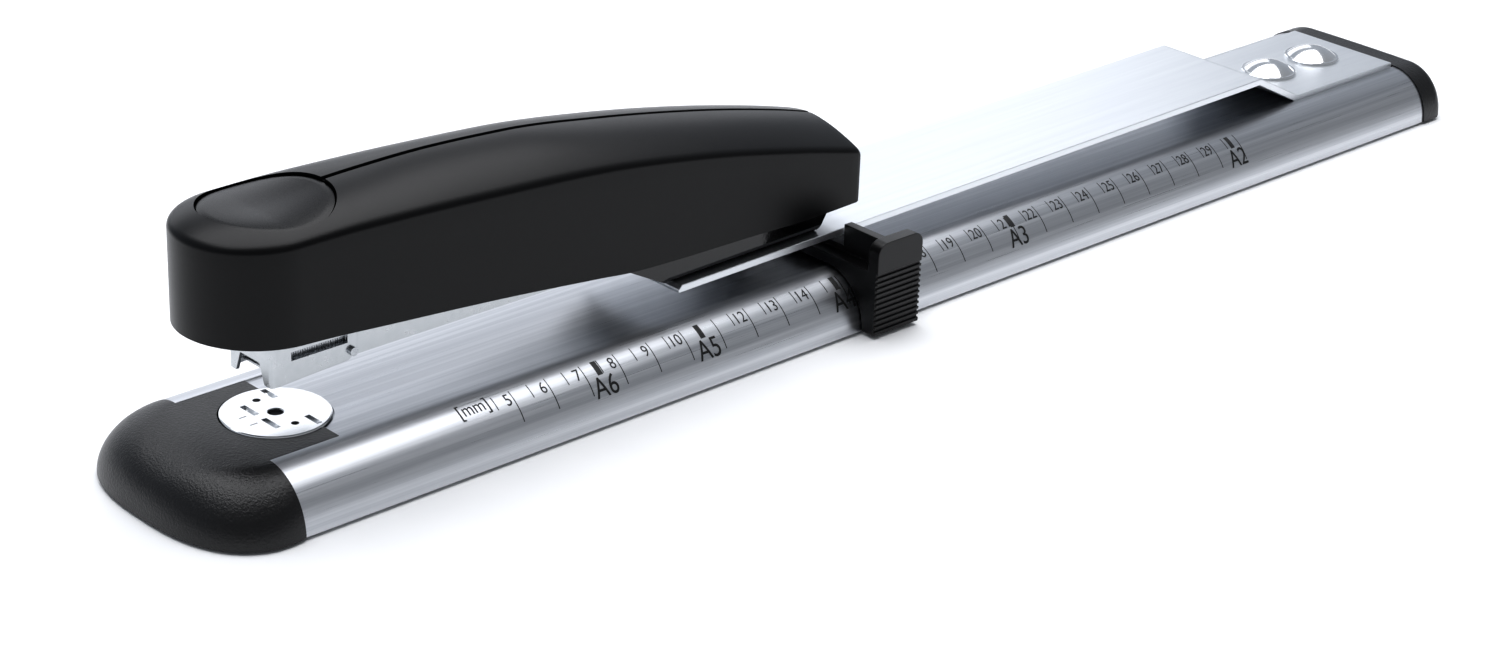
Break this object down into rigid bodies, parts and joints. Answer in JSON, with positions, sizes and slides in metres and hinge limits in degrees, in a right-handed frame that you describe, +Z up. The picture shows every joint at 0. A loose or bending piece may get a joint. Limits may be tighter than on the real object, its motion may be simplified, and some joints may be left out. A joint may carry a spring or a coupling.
{
  "type": "long-arm stapler",
  "caption": "Long-arm stapler with a hinged stapling head over a long base rail, a turning anvil and a sliding depth stop.",
  "frame": {"origin": "middle of the overall length and width, on the surface that the feet stand on", "axes": "+X along the rail from the anvil to the rear, +Z up, +Y to the left when looking along +X"},
  "size_m": [0.4202, 0.068, 0.065],
  "materials": {
    "rail": "brushed and clear anodised",
    "grained_plastic": "coarse moulded grain",
    "rubber_feet": "matt",
    "anvil_chrome": "polished",
    "steel_small": "bright zinc",
    "spring_steel": "bright drawn",
    "arm_steel": "satin plated",
    "rivet_chrome": "polished",
    "bracket_black": "gloss black",
    "magazine_nickel": "satin nickel plate",
    "pusher_black": "smooth",
    "staple_wire": "galvanised wire",
    "lever_steel": "rolled",
    "cover_plastic": "fine moulded grain",
    "pad_plastic": "fine moulded grain",
    "stop_plastic": "satin"
  },
  "bodies": {
    "base": {"base_rail": "rail", "front_end_cap": "grained_plastic", "rear_end_cap": "grained_plastic", "feet": "rubber_feet", "arm_plate": "arm_steel", "arm_rivets": "rivet_chrome", "rivet_washers": "steel_small", "hinge_bracket": "bracket_black", "bracket_rivets": "steel_small", "hinge_pin": "steel_small", "pin_clips": "steel_small", "lift_spring": "spring_steel"},
    "stem": {"anvil_stem": "steel_small", "anvil_spring": "spring_steel"},
    "anvil": {"anvil_plate": "anvil_chrome"},
    "magazine": {"magazine_channel": "magazine_nickel", "nose_guide": "magazine_nickel", "guide_pins": "steel_small", "staple_core": "magazine_nickel", "pusher_rod": "steel_small", "pusher_spring": "spring_steel", "staple_strip": "staple_wire"},
    "pusher": {"pusher": "pusher_black"},
    "handle": {"handle_frame": "lever_steel", "handle_spring": "spring_steel", "driver_blade": "lever_steel", "handle_cap": "cover_plastic", "thumb_pad": "pad_plastic"},
    "stop": {"stop_slider": "stop_plastic", "stop_spring": "spring_steel"}
  },
  "joints": [
    {"name": "magazine_pivot", "type": "hinge", "parent": "base", "child": "magazine", "pos_m": [-0.0246, 0, 0.0338], "axis": [0, 1, 0], "range_deg": [-3.5, 0], "stiffness_Nm_per_rad": 4, "springref_deg": 6.88, "deforming": ["lift_spring"]},
    {"name": "handle_pivot", "type": "hinge", "parent": "magazine", "child": "handle", "pos_m": [-0.0246, 0, 0.0338], "axis": [0, 1, 0], "range_deg": [-3.3, 50], "stiffness_Nm_per_rad": 3, "springref_deg": 1.72, "deforming": ["handle_spring"]},
    {"name": "pusher_slide", "type": "slide", "parent": "magazine", "child": "pusher", "axis": [1, 0, 0], "range_m": [0, 0.045], "stiffness_N_per_m": 40, "springref_m": -0.05, "deforming": ["pusher_spring"]},
    {"name": "stop_slide", "type": "slide", "parent": "base", "child": "stop", "axis": [1, 0, 0], "range_m": [-0.102, 0.146]},
    {"name": "anvil_lift", "type": "slide", "parent": "base", "child": "stem", "axis": [0, 0, 1], "range_m": [0, 0.002], "stiffness_N_per_m": 500, "springref_m": -0.003, "deforming": ["anvil_spring"]},
    {"name": "anvil_turn", "type": "hinge", "parent": "stem", "child": "anvil", "pos_m": [-0.1736, 0, 0.0139], "axis": [0, 0, 1], "range_deg": [0, 180]}
  ]
}
